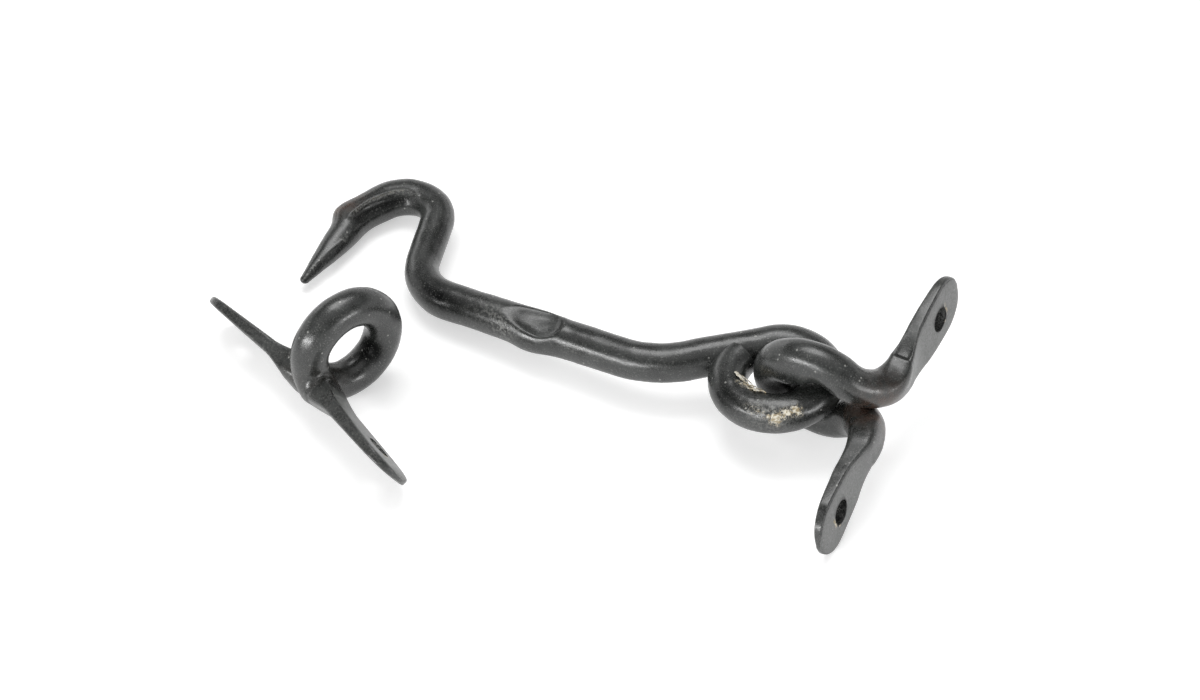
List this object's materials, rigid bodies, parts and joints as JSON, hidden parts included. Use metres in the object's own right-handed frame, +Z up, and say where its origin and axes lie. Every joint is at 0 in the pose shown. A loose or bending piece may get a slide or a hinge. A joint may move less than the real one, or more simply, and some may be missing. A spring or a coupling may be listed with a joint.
{
  "type": "hook and eye latch",
  "caption": "Black forged cabin hook with a swan-neck head, linked through a ring staple with drilled tabs, and a loose ring staple that the hook drops into to hold a door or shutter.",
  "frame": {"origin": "middle of the bounding box on the bench that the pieces lie on", "axes": "+X along the hook's shank from its nose to the linked staple, +Y across the bench, +Z up from the bench"},
  "size_m": [0.1394, 0.0884, 0.026],
  "materials": {
    "black_iron": "satin"
  },
  "bodies": {
    "pivot_staple": {"pivot_staple": "black_iron"},
    "hook": {"hook": "black_iron"},
    "keeper_staple": {"keeper_staple": "black_iron"}
  },
  "joints": [
    {"name": "hook_swing", "type": "hinge", "parent": "pivot_staple", "child": "hook", "pos_m": [0.0444, 0.012, 0.01178], "axis": [-0.0861, -0.0488, 0.9951], "range_deg": [-90, 0]},
    {"name": "keeper_lift", "type": "slide", "parent": "pivot_staple", "child": "keeper_staple", "axis": [0, 0, 1], "range_m": [0, 0.05]}
  ]
}
